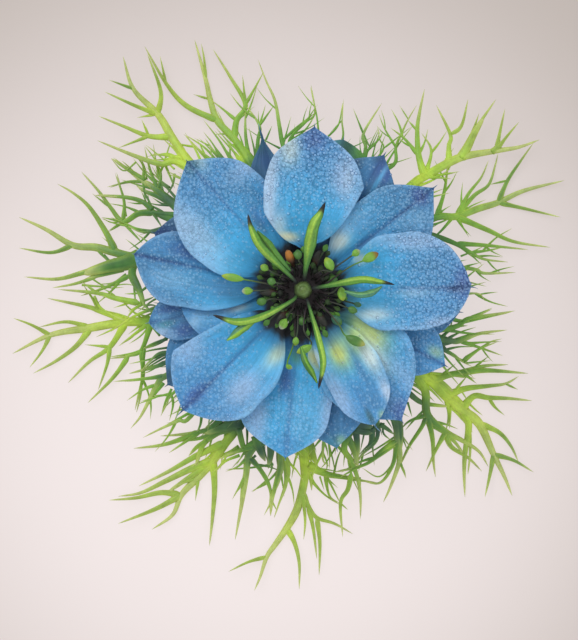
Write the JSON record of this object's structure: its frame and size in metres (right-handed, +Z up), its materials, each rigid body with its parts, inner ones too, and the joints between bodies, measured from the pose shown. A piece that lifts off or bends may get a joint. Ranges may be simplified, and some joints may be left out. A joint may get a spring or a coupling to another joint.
{
  "type": "love in a mist flower",
  "caption": "Picked double love in a mist flower: layered blue sepals around a dark centre of stamens and twisted green styles, on a ruff of feathery green bracts and a short cut stem.",
  "frame": {"origin": "centre of the bounding box at its bottom, the level of the surface that the flower lies on", "axes": "+Z up, out of the flower's face; +Y to the top of the flower as seen from above and +X to its right"},
  "size_m": [0.075, 0.0748, 0.0209],
  "materials": {
    "stem": "soft green plant stem, slightly waxy",
    "bract": "fresh yellow-green to deep green leaf, satin",
    "sepal": "sky blue to violet blue, veined, with fine dew, satin",
    "stamen": "yellow-green anther on a near-black maroon filament, satin",
    "nectary": "orange-brown, slightly glossy",
    "pistil": "yellow-green styles with near-black tips, satin"
  },
  "bodies": {
    "root": {"bract_east": "bract", "bract_east_south_east": "bract", "bract_north": "bract", "bract_north_east": "bract", "bract_north_north_east": "bract", "bract_north_north_west": "bract", "bract_north_west": "bract", "bract_south": "bract", "bract_south_east": "bract", "bract_south_south_east": "bract", "bract_south_south_west": "bract", "bract_south_west": "bract", "bract_west": "bract", "bract_west_by_north": "bract", "bract_west_north_west": "bract", "bract_west_south_west": "bract", "nectary_1": "nectary", "nectary_2": "nectary", "nectary_3": "nectary", "nectary_4": "nectary", "nectary_5": "nectary", "pistil": "pistil", "sepal_east": "sepal", "sepal_east_by_south": "sepal", "sepal_east_low": "sepal", "sepal_east_south_east": "sepal", "sepal_north": "sepal", "sepal_north_by_east": "sepal", "sepal_north_by_west": "sepal", "sepal_north_east": "sepal", "sepal_north_north_east": "sepal", "sepal_north_west": "sepal", "sepal_south": "sepal", "sepal_south_east": "sepal", "sepal_south_south_east": "sepal", "sepal_south_west": "sepal", "sepal_south_west_low": "sepal", "sepal_west": "sepal", "sepal_west_low": "sepal", "sepal_west_north_west": "sepal", "sepal_west_short": "sepal", "stamen_1": "stamen", "stamen_10": "stamen", "stamen_11": "stamen", "stamen_12": "stamen", "stamen_13": "stamen", "stamen_14": "stamen", "stamen_15": "stamen", "stamen_16": "stamen", "stamen_17": "stamen", "stamen_18": "stamen", "stamen_2": "stamen", "stamen_3": "stamen", "stamen_4": "stamen", "stamen_5": "stamen", "stamen_6": "stamen", "stamen_7": "stamen", "stamen_8": "stamen", "stamen_9": "stamen", "stem": "stem"}
  },
  "joints": []
}
